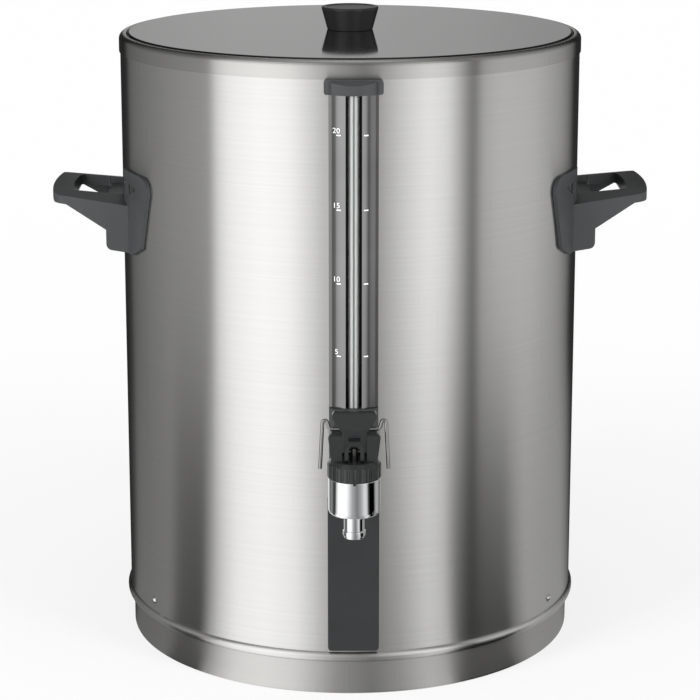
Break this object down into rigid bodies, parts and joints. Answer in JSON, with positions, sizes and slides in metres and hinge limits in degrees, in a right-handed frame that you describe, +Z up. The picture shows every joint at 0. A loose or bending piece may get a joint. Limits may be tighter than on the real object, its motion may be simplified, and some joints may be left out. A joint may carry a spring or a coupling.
{
  "type": "coffee urn",
  "caption": "Insulated steel coffee urn: lift-off lid with a knob, side loop handles, a level gauge down the front, and a lever tap with a hanging wire bail.",
  "frame": {"origin": "centre of the flat bottom of the base pan, on the surface that the urn stands on", "axes": "+Z up along the urn's axis, -Y to the front where the tap is, +X to the right of someone who faces the tap"},
  "size_m": [0.496, 0.4453, 0.53],
  "materials": {
    "jacket": "brushed round the body",
    "rim": "brushed round the rim",
    "base": "brushed round the base",
    "lid_steel": "polished",
    "tank_steel": "satin",
    "fastener": "bright",
    "chrome": "polished",
    "wire": "bright wire",
    "brass": "turned",
    "anthracite": "fine grain, satin",
    "tap_black": "satin",
    "knob_black": "satin",
    "seal": "matt",
    "cup_silicone": "translucent white, matt",
    "glass": "clear",
    "insulation": "mineral wool"
  },
  "bodies": {
    "vessel": {"outer_shell": "jacket", "top_collar": "rim", "tank_wall": "tank_steel", "tank_floor": "tank_steel", "insulation_jacket": "insulation", "insulation_base": "insulation", "outlet_pipe": "tank_steel", "union_nut": "brass", "union_seal": "seal", "base_pan": "base", "base_screws": "fastener", "base_nuts": "fastener", "handle_left": "anthracite", "handle_right": "anthracite", "handle_plates": "fastener", "handle_screws": "fastener", "gauge_holder": "anthracite", "gauge_tube": "glass", "gauge_upper_seal": "seal", "gauge_lower_seal": "seal", "gauge_base": "anthracite", "tee_seals": "seal", "gauge_screws": "fastener", "gauge_nuts": "brass", "cover_strip": "anthracite", "tap_body": "chrome", "spout": "chrome", "spout_screw": "fastener", "shank_washer": "seal", "shank_nut": "brass", "bonnet": "tap_black", "bonnet_seal": "seal"},
    "lid": {"lid_shell": "lid_steel", "lid_liner": "tank_steel", "lid_seal": "seal", "lid_knob": "knob_black", "knob_insert": "brass", "knob_screw": "fastener", "knob_washer": "fastener"},
    "cap": {"gauge_cap": "anthracite"},
    "valve": {"valve_stem": "fastener", "seat_cup": "cup_silicone", "lever_pin": "fastener", "valve_spring": "wire"},
    "lever": {"tap_lever": "tap_black"},
    "bail": {"wire_bail": "wire"}
  },
  "joints": [
    {"name": "lid_lift", "type": "slide", "parent": "vessel", "child": "lid", "axis": [0, 0, 1], "range_m": [0, 0.3]},
    {"name": "cap_pull", "type": "slide", "parent": "vessel", "child": "cap", "axis": [0, 0, 1], "range_m": [0, 0.03]},
    {"name": "stem_lift", "type": "slide", "parent": "vessel", "child": "valve", "axis": [0, 0, 1], "range_m": [0, 0.00384], "deforming": ["valve_spring"]},
    {"name": "lever_tilt", "type": "hinge", "parent": "valve", "child": "lever", "pos_m": [0, -0.232, 0.2166], "axis": [1, 0, 0], "range_deg": [0, 40], "stiffness_Nm_per_rad": 0.018, "springref_deg": -103.13},
    {"name": "bail_swing", "type": "hinge", "parent": "lever", "child": "bail", "pos_m": [0, -0.236, 0.2358], "axis": [1, 0, 0], "range_deg": [-110, 60]}
  ],
  "couplings": [
    {"joint": "lever_tilt", "follows": "stem_lift", "rad_per_m": 181.8}
  ]
}
